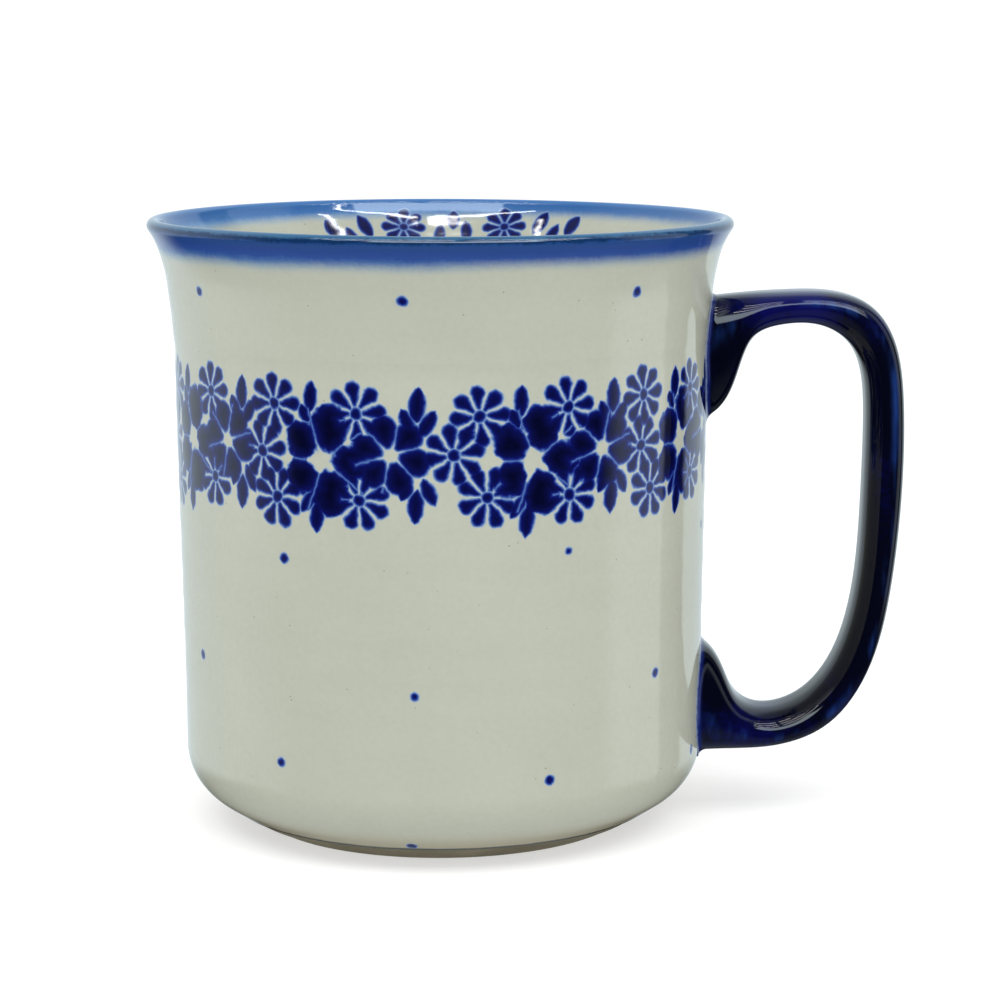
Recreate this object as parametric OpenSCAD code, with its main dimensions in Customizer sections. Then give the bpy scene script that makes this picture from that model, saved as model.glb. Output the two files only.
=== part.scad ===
// Straight-sided stoneware mug with a flared lip, a foot ring and a strap handle.
// Origin: the mug's axis at the table, +Z up, handle towards +X.

/* [Cup] */
// Height from the table to the top of the lip
mug_h = 100; // [94:1:112]
// Outside radius of the wall just above the heel
wall_r = 43; // [41:0.5:44]
// Outside radius of the lip
rim_r = 48; // [47:0.5:50]
// Thickness of the wall with its glaze
wall_t = 4.6; // [3.8:0.1:5.5]
// Thickness of the floor with its glaze
floor_t = 5.2; // [4:0.1:7]
// Outside radius of the foot ring where it meets the table
foot_r = 31; // [29:0.5:33]
// Width of the foot ring's flat face
foot_w = 3.2; // [2:0.1:5]
// Height of the recess under the base
recess_h = 2.4; // [1.6:0.1:3]

/* [Handle] */
// How far the handle stands out from the wall
reach = 33; // [30:0.5:38]
// Width of the handle strap
strap_w = 13; // [11:0.5:16]

/* [Glaze] */
// Thickness of the fired glaze coats
glaze_t = 0.4; // [0.3:0.05:0.5]

/* [Hidden] */
$fn = 96;

clay_colour = "#b7a88e";
cream_colour = "#c9cabb";
cobalt_colour = "#141f5e";

// The wall's outline is drawn for a 100 mm mug, and heights follow mug_h.
k = mug_h / 100;

// Heel: the arc between the foot bevel and the wall
heel_r = 9.6;
heel_z = 12.6 * k;
heel_steps = 8;
// Angle of the heel arc at the bevel, below horizontal
heel_a = 56;
// Height on the bevel where the glaze stops
glaze_z = 2.8;

// Wall: widens a little towards the neck, then flares to the lip
neck_z = 79 * k;
neck_r = wall_r + 0.8;
wall_steps = 5;
lip_rad = 1.15;
lip_c = [rim_r - lip_rad, mug_h - lip_rad];
// Angle of the lip's roll where the flare runs into it, below horizontal
lip_a = -32;
flare_top = lip_c + lip_rad * [cos(lip_a), sin(lip_a)];
flare_steps = 8;
// How much of the flare is a plain cone
flare_cone = 0.45;

// Inside: lip roll, inner flare, inner wall, floor corner and floor
lip_in_a = 160;
lip_steps = 10;
in_top = lip_c + lip_rad * [cos(lip_in_a), sin(lip_in_a)];
in_r = neck_r - wall_t;
in_taper = 0.9;
corner_r = 9;
floor_z = recess_h + floor_t;
dish = 0.6;

function smooth(t) = t * t * (3 - 2 * t);
function flare(t) = flare_cone * t + (1 - flare_cone) * pow(t, 5);
function unit(v) = v / norm(v);

// The glazed surface, in [radius, height], from the glaze line up, over the lip and down to the floor
heel_c = [wall_r - heel_r, heel_z];
heel_foot = heel_c + heel_r * [cos(heel_a), -sin(heel_a)];
bevel_dir = [sin(heel_a), cos(heel_a)];
bevel_start = heel_foot - bevel_dir * (heel_foot[1] - glaze_z) / bevel_dir[1];
heel = [
    for (i = [0 : heel_steps])
        let (a = -heel_a * (1 - i / heel_steps))
        heel_c + heel_r * [cos(a), sin(a)]
];
wall = [
    for (i = [1 : wall_steps])
        let (t = i / wall_steps)
        [wall_r + (neck_r - wall_r) * smooth(t), heel_z + (neck_z - heel_z) * t]
];
flare_path = [
    for (i = [1 : flare_steps - 1])
        let (t = i / flare_steps)
        [neck_r + (flare_top[0] - neck_r) * flare(t), neck_z + (flare_top[1] - neck_z) * t]
];
lip_out = [
    for (i = [0 : lip_steps])
        let (a = lip_a + (90 - lip_a) * i / lip_steps)
        lip_c + lip_rad * [cos(a), sin(a)]
];
lip_in = [
    for (i = [1 : lip_steps])
        let (a = 90 + (lip_in_a - 90) * i / lip_steps)
        lip_c + lip_rad * [cos(a), sin(a)]
];
inner_flare = [
    for (i = [1 : flare_steps])
        let (t = 1 - i / flare_steps)
        [in_r + (in_top[0] - in_r) * smooth(t) * t, neck_z + (in_top[1] - neck_z) * t]
];
corner_c = [in_r - in_taper - corner_r, floor_z + corner_r];
corner = [
    for (i = [0 : heel_steps])
        let (a = -90 * i / heel_steps)
        corner_c + corner_r * [cos(a), sin(a)]
];
outer_skin = concat([bevel_start], heel, wall, flare_path, lip_out);
inner_skin = concat(lip_in, inner_flare, corner, [[0, floor_z - dish]]);
skin = concat(outer_skin, inner_skin);
crest = len(outer_skin) - 1;

// Normal of a path at point i, towards the clay
function into_clay(p, i) =
    let (t = unit(p[min(i + 1, len(p) - 1)] - p[max(i - 1, 0)]))
    [-t[1], t[0]];

// The clay's own surface under the glaze
clay_skin = [
    for (i = [0 : len(skin) - 1])
        i == len(skin) - 1 ? skin[i] - [0, glaze_t] : skin[i] + glaze_t * into_clay(skin, i)
];

// Bare foot ring and the recess inside it
foot_in_r = foot_r - foot_w;
recess_r = foot_in_r - 2.6;
foot = [
    [0, recess_h + 0.4],
    [recess_r - 1.4, recess_h],
    [recess_r, recess_h - 0.4],
    [foot_in_r - 0.4, 0.4],
    [foot_in_r, 0],
    [foot_r, 0],
    [foot_r + 0.8, 0.2],
    [foot_r + 2.4, 1.3]
];

function part_of(p, a, b) = [for (i = [a : b]) p[i]];
function backwards(p) = [for (i = [len(p) - 1 : -1 : 0]) p[i]];

// Handle: stations along the strap, from the upper joint round to the lower one.
// Each is [out of wall, height] of its outer line, the same of its inner line, and its extra width.
station_reach = 33;
stations = [
    [-8, 85.6, -8, 63.0, 0],
    [-4, 86.0, -4, 65.0, 0.4],
    [0.8, 86.6, 2.0, 67.0, 0.8],
    [5.0, 87.0, 4.8, 72.2, 0.8],
    [9.0, 87.3, 6.4, 80.2, 0.2],
    [14.0, 87.5, 11.6, 82.0, 0],
    [21.0, 87.6, 18.6, 82.4, 0],
    [27.8, 85.4, 24.2, 79.0, 0],
    [31.9, 78.6, 26.2, 73.4, 0],
    [32.9, 68.0, 26.5, 66.0, 0],
    [32.8, 54.0, 26.2, 54.0, 0.2],
    [31.4, 39.0, 25.6, 39.0, 0.4],
    [28.8, 25.2, 22.7, 26.4, 0.6],
    [22.3, 14.6, 16.8, 18.6, 0.8],
    [14.0, 11.2, 8.8, 16.6, 1.4],
    [7.6, 10.6, 4.4, 20.0, 3.0],
    [2.6, 10.6, 2.8, 26.0, 5.2],
    [-2.0, 10.4, -1.0, 29.8, 6.8],
    [-8.0, 10.4, -8.0, 31.0, 7.0]
];
handle_steps = 44;
handle_sides = 24;
// Squareness of the strap's rounded section through its thickness and across its width, 2 being an ellipse
thin_squareness = 2;
wide_squareness = 3;
// The same of the joints' patches
patch_squareness = 2.5;
// How much wider the section is on its outer side
outer_bias = 0.12;

// A point on the smooth curve that the stations pull
function spline(p, u) =
    let (i = min(floor(u), len(p) - 4), f = u - i)
    (pow(1 - f, 3) * p[i] + (3 * pow(f, 3) - 6 * f * f + 4) * p[i + 1]
        + (-3 * pow(f, 3) + 3 * f * f + 3 * f + 1) * p[i + 2] + pow(f, 3) * p[i + 3]) / 6;
function power(x, squareness) = sign(x) * pow(abs(x), 2 / squareness);

// One ring of the strap, set inside the glazed surface by inset
function ring(s, inset) =
    let (
        scale_x = reach / station_reach,
        outer = [neck_r + s[0] * scale_x, s[1] * k],
        inner = [neck_r + s[2] * scale_x, s[3] * k],
        middle = (outer + inner) / 2,
        half = (outer - inner) / 2 - inset * unit(outer - inner),
        half_w = (strap_w + s[4]) / 2 - inset
    )
    [
        for (j = [0 : handle_sides - 1])
            let (
                a = 360 * j / handle_sides,
                v = power(cos(a), thin_squareness),
                across = power(sin(a), wide_squareness),
                p = middle + half * v
            )
            [p[0], half_w * across * (1 + outer_bias * v), p[1]]
    ];
function strap(inset) = [
    for (i = [0 : handle_steps])
        each ring(spline(stations, (len(stations) - 3) * i / handle_steps), inset)
];
// Triangles of a tube of rings, its first point being number first
function tube_faces(first, outward) = [
    for (i = [0 : handle_steps - 1], j = [0 : handle_sides - 1])
        let (
            n = handle_sides,
            a = first + i * n + j,
            b = first + i * n + (j + 1) % n,
            c = b + n,
            d = a + n
        )
        each outward ? [[a, d, c], [a, c, b]] : [[a, c, d], [a, b, c]]
];
strap_points = (handle_steps + 1) * handle_sides;
last_ring = handle_steps * handle_sides;

// The cup's glazed outline as one solid, which trims what meets the wall
module glazed_cup() {
    rotate_extrude()
        polygon(concat([[0, glaze_z]], outer_skin, [[0, mug_h]]));
}

// The outer coat before the handle's places are left bare
module outer_coat() {
    rotate_extrude()
        polygon(concat(outer_skin, backwards(part_of(clay_skin, 0, crest))));
}

// A joint's patch on the wall, a rounded upright shape driven in along X
module joint_patch(low, high, width) {
    mid = (low + high) / 2 * k;
    half = (high - low) / 2 * k;
    patch_sides = 20;
    translate([0, 0, mid])
        rotate([90, 0, 90])
            linear_extrude(height = rim_r)
                polygon([
                    for (j = [0 : patch_sides - 1])
                        let (a = 360 * j / patch_sides)
                        [width / 2 * power(cos(a), patch_squareness), half * power(sin(a), patch_squareness)]
                ]);
}
module upper_patch() {
    joint_patch(70, 85.6, strap_w - 3);
}
module lower_patch() {
    joint_patch(11.4, 27, strap_w + 1.6);
}

module cup_body() {
    color(clay_colour)
        rotate_extrude()
            polygon(concat(clay_skin, foot));
}

module handle() {
    color(clay_colour)
        difference() {
            polyhedron(
                strap(glaze_t),
                concat(
                    tube_faces(0, true),
                    [for (j = [1 : handle_sides - 2]) [0, j, j + 1]],
                    [for (j = [1 : handle_sides - 2]) [last_ring, last_ring + j + 1, last_ring + j]]
                )
            );
            glazed_cup();
        }
}

module upper_slip_joint() {
    color(clay_colour)
        intersection() {
            outer_coat();
            upper_patch();
        }
}

module lower_slip_joint() {
    color(clay_colour)
        intersection() {
            outer_coat();
            lower_patch();
        }
}

module outer_glaze() {
    color(cream_colour)
        difference() {
            outer_coat();
            upper_patch();
            lower_patch();
        }
}

module inner_glaze() {
    color(cream_colour)
        rotate_extrude()
            polygon(concat(
                part_of(skin, crest, len(skin) - 1),
                backwards(part_of(clay_skin, crest, len(skin) - 1))
            ));
}

module base_glaze() {
    color(cream_colour)
        rotate_extrude()
            polygon([
                foot[0],
                foot[1],
                foot[1] - [0.1, glaze_t],
                foot[0] - [0, glaze_t]
            ]);
}

module handle_glaze() {
    color(cobalt_colour)
        difference() {
            polyhedron(
                concat(strap(0), strap(glaze_t)),
                concat(
                    tube_faces(0, true),
                    tube_faces(strap_points, false),
                    [
                        for (j = [0 : handle_sides - 1])
                            let (b = (j + 1) % handle_sides, p = strap_points)
                            each [[j, b, p + b], [j, p + b, p + j]]
                    ],
                    [
                        for (j = [0 : handle_sides - 1])
                            let (a = last_ring + j, b = last_ring + (j + 1) % handle_sides, p = strap_points)
                            each [[a, p + b, b], [a, p + a, p + b]]
                    ]
                )
            );
            glazed_cup();
        }
}

cup_body();
handle();
upper_slip_joint();
lower_slip_joint();
outer_glaze();
inner_glaze();
base_glaze();
handle_glaze();
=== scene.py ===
"""Looks of a glazed stoneware mug: wheel-turned cup, strap handle, blue underglaze flowers.

Lengths are in millimetres until mesh_object() turns them into metres. Angles round the mug are
measured from its front (-Y) towards its handle (+X).
"""

import math

import bpy
import numpy as np
from mathutils import Matrix, Vector


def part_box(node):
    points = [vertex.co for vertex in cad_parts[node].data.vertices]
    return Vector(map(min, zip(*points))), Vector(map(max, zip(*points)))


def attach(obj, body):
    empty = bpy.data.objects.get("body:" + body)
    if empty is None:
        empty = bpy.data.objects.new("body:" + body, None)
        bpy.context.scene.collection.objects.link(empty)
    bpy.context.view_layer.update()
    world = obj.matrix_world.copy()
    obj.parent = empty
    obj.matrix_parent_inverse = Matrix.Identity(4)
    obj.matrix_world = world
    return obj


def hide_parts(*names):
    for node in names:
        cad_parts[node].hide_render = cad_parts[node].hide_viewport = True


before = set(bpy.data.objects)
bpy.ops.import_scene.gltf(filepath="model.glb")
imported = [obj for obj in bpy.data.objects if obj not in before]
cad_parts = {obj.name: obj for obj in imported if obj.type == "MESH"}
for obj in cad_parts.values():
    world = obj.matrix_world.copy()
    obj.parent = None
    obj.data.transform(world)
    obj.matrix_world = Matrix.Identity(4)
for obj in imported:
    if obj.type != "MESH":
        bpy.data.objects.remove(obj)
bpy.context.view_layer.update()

MM = 0.001


# ---------------------------------------------------------------- sizes from the CAD model
def cad_mm(node):
    """(lowest corner, highest corner) of a CAD node, in millimetres."""
    low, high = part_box(node)
    return np.array(low) / MM, np.array(high) / MM


glaze_low, glaze_high = cad_mm("outer_glaze")
MUG_H = glaze_high[2]
RIM_R = glaze_high[1]
GLAZE_Z = glaze_low[2]
FLOOR_Z = cad_mm("inner_glaze")[0][2]
RECESS_Z = cad_mm("base_glaze")[1][2]
RECESS_R = cad_mm("base_glaze")[1][1]

# The cup's outline, as in the CAD model
WALL_R = 43.0
NECK_R = WALL_R + 0.8
NECK_Z = 0.79 * MUG_H
HEEL_R = 9.6
HEEL_Z = 0.126 * MUG_H
HEEL_ANGLE = math.radians(56)
LIP_RAD = 1.15
LIP_ANGLE = math.radians(-32)
LIP_IN_ANGLE = math.radians(160)
FLARE_CONE = 0.45
WALL_T = 4.6
IN_TAPER = 0.9
CORNER_R = 9.0
DISH = 0.6
GLAZE_T = 0.4
FOOT_R = 31.0
FOOT_W = 3.2
FOOT_OUTER_EDGE = 0.5
FOOT_INNER_EDGE = 0.6

SEGMENTS = 320
ON_AXIS = 1e-6


# ---------------------------------------------------------------- the cup's outline
def smooth(t):
    """0 to 1 with level ends."""
    return t * t * (3 - 2 * t)


def outer_radius(z):
    """Radius of the glazed wall at height z, between the heel and the lip's roll."""
    z = np.asarray(z, float)
    top_r = RIM_R - LIP_RAD + LIP_RAD * math.cos(LIP_ANGLE)
    top_z = MUG_H - LIP_RAD + LIP_RAD * math.sin(LIP_ANGLE)
    heel = WALL_R - HEEL_R + np.sqrt(np.clip(HEEL_R**2 - (HEEL_Z - z) ** 2, 0, None))
    wall = WALL_R + (NECK_R - WALL_R) * smooth(np.clip((z - HEEL_Z) / (NECK_Z - HEEL_Z), 0, 1))
    t = np.clip((z - NECK_Z) / (top_z - NECK_Z), 0, 1)
    flare = NECK_R + (top_r - NECK_R) * (FLARE_CONE * t + (1 - FLARE_CONE) * t**5)
    return np.where(z < HEEL_Z, heel, np.where(z < NECK_Z, wall, flare))


def arc(centre, radius, start, end, steps):
    """Points along an arc of a circle."""
    angles = np.linspace(start, end, steps)
    return np.stack([centre[0] + radius * np.cos(angles), centre[1] + radius * np.sin(angles)], 1)


def glazed_outline():
    """The glazed surface in (radius, height): up the outside to the lip's crest, and down the inside."""
    heel_c = (WALL_R - HEEL_R, HEEL_Z)
    heel = arc(heel_c, HEEL_R, -HEEL_ANGLE, 0, 18)
    slope = np.array([math.sin(HEEL_ANGLE), math.cos(HEEL_ANGLE)])
    start = heel[0] - slope * (heel[0][1] - GLAZE_Z) / slope[1]
    bevel = np.linspace(start, heel[0], 7)[:-1]
    lip_c = (RIM_R - LIP_RAD, MUG_H - LIP_RAD)
    roll = arc(lip_c, LIP_RAD, LIP_ANGLE, math.pi / 2, 14)
    wall_z = np.linspace(HEEL_Z, NECK_Z, 56)[1:]
    flare_z = np.linspace(NECK_Z, roll[0][1], 24)[1:-1]
    wall = np.stack([outer_radius(wall_z), wall_z], 1)
    flare = np.stack([outer_radius(flare_z), flare_z], 1)
    inside_roll = arc(lip_c, LIP_RAD, math.pi / 2, LIP_IN_ANGLE, 14)[1:]
    in_r, in_top = NECK_R - WALL_T, inside_roll[-1]
    t = np.linspace(1, 0, 24)[1:]
    inner_flare = np.stack([in_r + (in_top[0] - in_r) * smooth(t) * t,
                            NECK_Z + (in_top[1] - NECK_Z) * t], 1)
    floor_z = FLOOR_Z + DISH + GLAZE_T
    corner_c = (in_r - IN_TAPER - CORNER_R, floor_z + CORNER_R)
    corner = arc(corner_c, CORNER_R, 0, -math.pi / 2, 18)
    fall = np.linspace(0, 1, 40)[1:-1, None]
    inner_wall = inner_flare[-1] + (corner[0] - inner_flare[-1]) * fall
    # The last ring lies close to the middle, so that the floor's centre is shaded smoothly
    across = np.append(np.linspace(0, 1, 16)[1:-1], [0.985, 1])
    floor = np.stack([corner[-1][0] * (1 - across), floor_z - DISH * smooth(across)], 1)
    floor[-1][0] = 0
    outside = np.concatenate([bevel, heel, wall, flare, roll])
    return outside, np.concatenate([inside_roll, inner_flare, inner_wall, corner, floor])


def shifted(path, distance):
    """A path moved to its left, which is into the clay for the glazed outline."""
    ahead, behind = np.roll(path, -1, 0), np.roll(path, 1, 0)
    ahead[-1], behind[0] = path[-1], path[0]
    along = ahead - behind
    along /= np.linalg.norm(along, axis=1)[:, None]
    moved = path + distance * np.stack([-along[:, 1], along[:, 0]], 1)
    moved[:, 0] = np.clip(moved[:, 0], 0, None)
    return moved


# ---------------------------------------------------------------- hand-made unevenness
def hand(angle, r, z):
    """How far a point of the cup lies from the true turned shape: (outwards, upwards), in mm."""
    up = np.clip(z / MUG_H, 0, 1)
    oval = 0.10 * up * np.sin(2 * angle + 0.6) + 0.05 * up * np.sin(3 * angle + 2.0)
    above_heel = smooth(np.clip((z - 14) / 12, 0, 1))
    rings = 0.028 * np.sin(2 * math.pi * z / 6.1 + 0.8 * np.sin(angle)) * above_heel
    fine = 0.010 * np.sin(2 * math.pi * z / 2.3 + 1.7 * np.sin(angle + 1)) * above_heel
    near_lip = smooth(np.clip((z - 0.8 * MUG_H) / (0.2 * MUG_H), 0, 1))
    tilt = near_lip * (-0.16 * np.sin(angle) - 0.10 - 0.05 * np.sin(3 * angle + 0.5))
    share = np.clip(r / WALL_R, 0, 1)
    return (oval + rings + fine) * share, tilt


# ---------------------------------------------------------------- mesh helpers
def mesh_object(name, points, faces, sharp_angle=50):
    """A smooth-shaded object from points in mm."""
    mesh = bpy.data.meshes.new(name)
    mesh.from_pydata((np.asarray(points, float) * MM).tolist(), [], faces)
    mesh.validate()
    mesh.shade_smooth()
    mesh.set_sharp_from_angle(angle=math.radians(sharp_angle))
    piece = bpy.data.objects.new(name, mesh)
    bpy.context.scene.collection.objects.link(piece)
    return piece


def turned(name, loop, rows=1, face_side=None):
    """A closed turned solid. loop is its closed section in (radius, height), with the solid on its left.

    face_side is how many of the loop's points, from its first, are the side that shows. The baking map
    gives that side nearly all its room, in as many rows as rows says, and the rest a narrow strip.
    """
    loop = np.asarray(loop, float)
    count = len(loop)
    angles = np.arange(SEGMENTS) * 2 * math.pi / SEGMENTS
    index = np.full((count, SEGMENTS), -1)
    points = []
    for i, (r, z) in enumerate(loop):
        if r < ON_AXIS:
            index[i, :] = len(points)
            points.append((0.0, 0.0, z))
            continue
        out, up = hand(angles, r, z)
        index[i] = np.arange(SEGMENTS) + len(points)
        rr = r + out
        points += list(zip(rr * np.sin(angles), -rr * np.cos(angles), z + up))
    faces, corners = [], []
    lengths = np.linalg.norm(np.roll(loop, -1, 0) - loop, axis=1)
    shown = face_side or count
    travelled = np.concatenate([[0], np.cumsum(lengths[: shown - 1])])
    travelled /= travelled[-1]
    for i in range(count):
        k = (i + 1) % count
        if loop[i][0] < ON_AXIS and loop[k][0] < ON_AXIS:
            continue
        for j in range(SEGMENTS):
            n = (j + 1) % SEGMENTS
            face, place = [], []
            for a, b in ((i, j), (i, n), (k, n), (k, j)):
                if index[a, b] in face:
                    continue
                face.append(int(index[a, b]))
                side = j / SEGMENTS if b == j else (j + 1) / SEGMENTS
                if a < shown and i < shown - 1:
                    row = min(int(rows * j / SEGMENTS), rows - 1)
                    along = 0.005 + 0.955 * (side * rows - row)
                    place.append((along, (row + 0.01 + 0.98 * travelled[a]) / rows))
                else:
                    place.append((0.975 + 0.02 * (a % 2), side))
            faces.append(face)
            corners += place
    piece = mesh_object(name, points, faces)
    layer = piece.data.uv_layers.new(name="OFBake")
    layer.data.foreach_set("uv", np.array(corners, np.float32).ravel())
    return piece


# ---------------------------------------------------------------- the strap handle
# Stations along the strap from the upper joint to the lower one, as in the CAD model: out of the
# wall and height of its outer line, the same of its inner line, and extra width.
STATIONS = np.array([
    [-8, 85.6, -8, 63.0, 0],
    [-4, 86.0, -4, 65.0, 0.4],
    [0.8, 86.6, 2.0, 67.0, 0.8],
    [5.0, 87.0, 4.8, 72.2, 0.8],
    [9.0, 87.3, 6.4, 80.2, 0.2],
    [14.0, 87.5, 11.6, 82.0, 0],
    [21.0, 87.6, 18.6, 82.4, 0],
    [27.8, 85.4, 24.2, 79.0, 0],
    [31.9, 78.6, 26.2, 73.4, 0],
    [32.9, 68.0, 26.5, 66.0, 0],
    [32.8, 54.0, 26.2, 54.0, 0.2],
    [31.4, 39.0, 25.6, 39.0, 0.4],
    [28.8, 25.2, 22.7, 26.4, 0.6],
    [22.3, 14.6, 16.8, 18.6, 0.8],
    [14.0, 11.2, 8.8, 16.6, 1.4],
    [7.6, 10.6, 4.4, 20.0, 3.0],
    [2.6, 10.6, 2.8, 26.0, 5.2],
    [-2.0, 10.4, -1.0, 29.8, 6.8],
    [-8.0, 10.4, -8.0, 31.0, 7.0],
])
STRAP_W = 13.0
# 2 is an ellipse, and more is squarer: across the strap's thickness and across its width
THIN_SQUARENESS = 2.0
WIDE_SQUARENESS = 3.0
# How much wider the strap's outer face is than its middle
OUTER_BIAS = 0.12
STRAP_RINGS = 190
STRAP_SIDES = 96
FILLET = 1.3
# How far the strap's feet sink into the cup's glaze
FOOT_SINK = 0.12
# The greatest distance from the wall that the handle's glaze keeps note of
GAP_LIMIT = 20.0
# Where round the section the painted highlight runs, along both sides towards the outer face, and how wide
# it is
GLINT_AT = 0.38
GLINT_WIDTH = 0.3


def power(x, squareness):
    """A sine or cosine bent towards a squarer section."""
    return np.sign(x) * np.abs(x) ** (2 / squareness)


def strap_point(u, a):
    """A point of the glazed strap: u counts stations, a is the angle round its section."""
    last = len(STATIONS) - 4
    i = np.clip(np.floor(u).astype(int), 0, last)
    f = u - i
    weights = [(1 - f) ** 3, 3 * f**3 - 6 * f**2 + 4, -3 * f**3 + 3 * f**2 + 3 * f + 1, f**3]
    s = sum(w[..., None] * STATIONS[i + n] for n, w in enumerate(weights)) / 6
    height = MUG_H / 100
    across, v = power(np.sin(a), WIDE_SQUARENESS), power(np.cos(a), THIN_SQUARENESS)
    middle_x = NECK_R + (s[..., 0] + s[..., 2]) / 2
    middle_z = (s[..., 1] + s[..., 3]) / 2 * height
    half_x = (s[..., 0] - s[..., 2]) / 2
    half_z = (s[..., 1] - s[..., 3]) / 2 * height
    half_w = (STRAP_W + s[..., 4]) / 2
    sideways = half_w * across * (1 + OUTER_BIAS * v)
    return np.stack([middle_x + half_x * v, sideways, middle_z + half_z * v], -1)


def wall_gap(p):
    """How far a point stands off the cup's glazed wall."""
    angle = np.arctan2(p[..., 0], -p[..., 1])
    return np.hypot(p[..., 0], p[..., 1]) - outer_radius(p[..., 2]) - hand(angle, WALL_R, p[..., 2])[0]


def strap_handle(name):
    """The handle's glaze: a smooth swept strap whose ends run out on the wall in a small fillet."""
    # Points round a section are spread so that its flat faces and its edges get their share
    share = np.arange(STRAP_SIDES) * 2 * math.pi / STRAP_SIDES
    a = share - 0.2 * np.sin(2 * share)
    # Each line along the strap starts and ends where it meets the wall, found by halving
    top, bottom = 0.0, len(STATIONS) - 3.0
    ends = []
    for start in (top, bottom):
        low, high = np.full(STRAP_SIDES, start), np.full(STRAP_SIDES, (top + bottom) / 2)
        for _ in range(40):
            middle = (low + high) / 2
            inside = wall_gap(strap_point(middle, a)) < 0
            low, high = np.where(inside, middle, low), np.where(inside, high, middle)
        ends.append(low)
    # Rings lie closer together towards both ends
    t = np.linspace(0, 1, STRAP_RINGS)
    t = t - 0.155 * np.sin(2 * math.pi * t)
    u = ends[0] + (ends[1] - ends[0]) * t[:, None]
    p = strap_point(u, np.broadcast_to(a, u.shape))

    # The fillet: points near the wall move away from the strap, along the wall
    ahead = np.roll(p, -1, 1) - np.roll(p, 1, 1)
    along = np.gradient(p, axis=0)
    normal = np.cross(along, ahead)
    normal /= np.linalg.norm(normal, axis=-1)[..., None] + 1e-12
    centre = p.mean(1, keepdims=True)
    normal *= np.sign((normal * (p - centre)).sum(-1))[..., None]
    out = np.stack([p[..., 0], p[..., 1], 0 * p[..., 0]], -1)
    out /= np.linalg.norm(out, axis=-1)[..., None]
    sideways = normal - (normal * out).sum(-1)[..., None] * out
    sideways /= np.linalg.norm(sideways, axis=-1)[..., None] + 1e-12
    gap = np.clip(wall_gap(p), 0, FILLET)
    near_end = (np.minimum(t, 1 - t) < 0.2)[:, None]
    push = np.where(near_end, FILLET - np.sqrt(np.clip(FILLET**2 - (FILLET - gap) ** 2, 0, None)), 0)
    p = p + sideways * push[..., None]
    away = np.where(near_end, wall_gap(p), GAP_LIMIT)
    feet = np.zeros_like(away)
    feet[0], feet[-1] = away[0] + FOOT_SINK, away[-1] + FOOT_SINK
    p = p - out * feet[..., None]

    # Two more rings inside the clay close the ends
    def inner_ring(ring):
        shrunk = ring.mean(0) + (ring - ring.mean(0)) * 0.8
        shrunk[:, 0] -= 1.2
        return shrunk

    rings = np.concatenate([inner_ring(p[0])[None], p, inner_ring(p[-1])[None]])
    count = len(rings)
    points = rings.reshape(-1, 3)
    faces = []
    for i in range(count - 1):
        for j in range(STRAP_SIDES):
            n = (j + 1) % STRAP_SIDES
            b = i * STRAP_SIDES
            faces.append((b + j, b + STRAP_SIDES + j, b + STRAP_SIDES + n, b + n))
    faces.append(tuple(range(STRAP_SIDES)))
    faces.append(tuple((count - 1) * STRAP_SIDES + j for j in reversed(range(STRAP_SIDES))))
    piece = mesh_object(name, points, faces, 75)
    gaps = np.clip(np.concatenate([0 * away[:1], away, 0 * away[:1]]), 0, GAP_LIMIT).ravel()
    # Where each ring carries the painted highlight: lighter blue lines along the strap's sides
    glint_line = np.tile(np.clip(1 - np.abs(np.cos(a) - GLINT_AT) / GLINT_WIDTH, 0, 1), count)
    for attribute, values in (("wall_gap", gaps), ("glint_line", glint_line)):
        layer = piece.data.attributes.new(attribute, "FLOAT", "POINT")
        layer.data.foreach_set("value", values.astype(np.float32))
    return piece


# ---------------------------------------------------------------- fields in node trees
class Field:
    """A number that varies over a surface: the output of a node, with arithmetic that adds Math nodes."""

    def __init__(self, tree, socket):
        self.tree, self.socket = tree, socket

    def __add__(self, other):
        return op("ADD", self, other)

    def __radd__(self, other):
        return op("ADD", other, self)

    def __sub__(self, other):
        return op("SUBTRACT", self, other)

    def __rsub__(self, other):
        return op("SUBTRACT", other, self)

    def __mul__(self, other):
        return op("MULTIPLY", self, other)

    def __rmul__(self, other):
        return op("MULTIPLY", other, self)

    def __truediv__(self, other):
        return op("DIVIDE", self, other)

    def __neg__(self):
        return op("MULTIPLY", self, -1.0)


def plug(tree, value, socket):
    """Links a field to a socket, or sets the socket to a plain number."""
    if isinstance(value, Field):
        tree.links.new(value.socket, socket)
    else:
        socket.default_value = value


def op(kind, *values):
    """One Math node."""
    tree = next(v.tree for v in values if isinstance(v, Field))
    node = tree.nodes.new("ShaderNodeMath")
    node.operation = kind
    for value, socket in zip(values, node.inputs):
        plug(tree, value, socket)
    return Field(tree, node.outputs[0])


def least(*values):
    """The smallest of several fields."""
    found = values[0]
    for value in values[1:]:
        found = op("MINIMUM", found, value)
    return found


def most(*values):
    """The largest of several fields."""
    found = values[0]
    for value in values[1:]:
        found = op("MAXIMUM", found, value)
    return found


def length(x, y):
    """The length of (x, y)."""
    return op("SQRT", op("MULTIPLY_ADD", x, x, y * y))


def wrapped(value, period):
    """The value brought into half a period either side of 0."""
    return op("WRAP", value, period / 2, -period / 2)


def ease(value, low, high, start=0.0, end=1.0):
    """Goes smoothly from start to end as the value goes from low to high."""
    node = value.tree.nodes.new("ShaderNodeMapRange")
    node.interpolation_type = "SMOOTHSTEP"
    plug(value.tree, value, node.inputs["Value"])
    for name, number in (("From Min", low), ("From Max", high), ("To Min", start), ("To Max", end)):
        node.inputs[name].default_value = number
    return Field(value.tree, node.outputs[0])


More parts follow.
